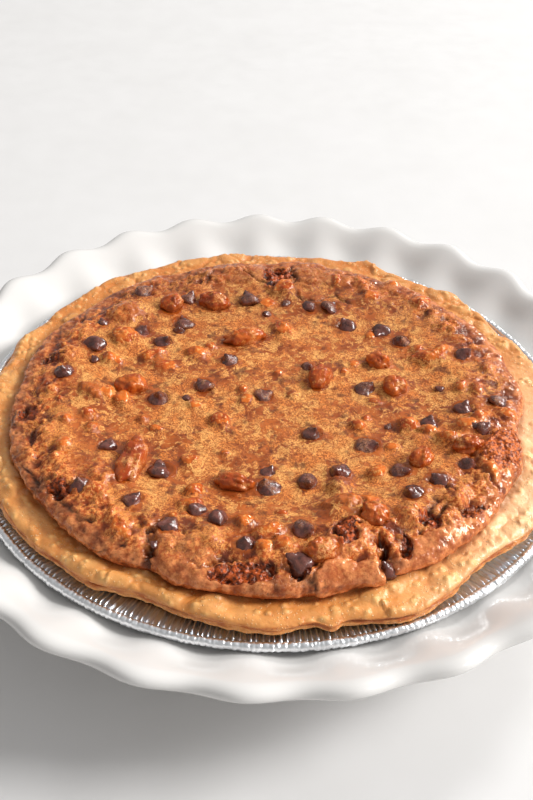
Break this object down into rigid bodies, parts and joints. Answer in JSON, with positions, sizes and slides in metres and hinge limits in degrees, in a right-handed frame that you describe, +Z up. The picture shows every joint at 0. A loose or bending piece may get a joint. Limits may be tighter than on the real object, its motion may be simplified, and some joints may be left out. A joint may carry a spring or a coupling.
{
  "type": "chocolate nut pie",
  "caption": "Round uncut pie with a puffed chocolate custard top, chocolate chips and walnut pieces, baked in a foil tin and set in a white dish with a ruffled rim",
  "frame": {"origin": "middle of the dish's flat foot, on the table", "axes": "+Z up; -Y is the side first seen; +X to the right from there"},
  "size_m": [0.2992, 0.2996, 0.0579],
  "materials": {
    "glazed_ceramic": "glossy glaze",
    "foil": "bright crimped foil",
    "pastry": "baked golden, blistered",
    "custard": "semi-gloss brown under a pale flaky film",
    "chocolate": "satin",
    "walnut": "syrup-glazed"
  },
  "bodies": {
    "root": {"ruffled_dish": "glazed_ceramic", "foil_tin": "foil", "pastry_crust": "pastry", "filling": "custard", "chip_01": "chocolate", "chip_02": "chocolate", "chip_03": "chocolate", "chip_04": "chocolate", "chip_05": "chocolate", "chip_06": "chocolate", "chip_07": "chocolate", "chip_08": "chocolate", "chip_09": "chocolate", "chip_10": "chocolate", "chip_11": "chocolate", "chip_12": "chocolate", "chip_13": "chocolate", "chip_14": "chocolate", "chip_15": "chocolate", "chip_16": "chocolate", "chip_17": "chocolate", "chip_18": "chocolate", "chip_19": "chocolate", "chip_20": "chocolate", "chip_21": "chocolate", "chip_22": "chocolate", "chip_23": "chocolate", "chip_24": "chocolate", "chip_25": "chocolate", "chip_26": "chocolate", "chip_27": "chocolate", "chip_28": "chocolate", "chip_29": "chocolate", "chip_30": "chocolate", "chip_31": "chocolate", "chip_32": "chocolate", "chip_33": "chocolate", "chip_34": "chocolate", "chip_35": "chocolate", "chip_36": "chocolate", "chip_37": "chocolate", "chip_38": "chocolate", "chip_39": "chocolate", "chip_40": "chocolate", "chip_41": "chocolate", "chip_42": "chocolate", "chip_43": "chocolate", "nut_01": "walnut", "nut_02": "walnut", "nut_03": "walnut", "nut_04": "walnut", "nut_05": "walnut", "nut_06": "walnut", "nut_07": "walnut", "nut_08": "walnut", "nut_09": "walnut", "nut_10": "walnut", "nut_11": "walnut", "nut_12": "walnut", "nut_13": "walnut"}
  },
  "joints": []
}
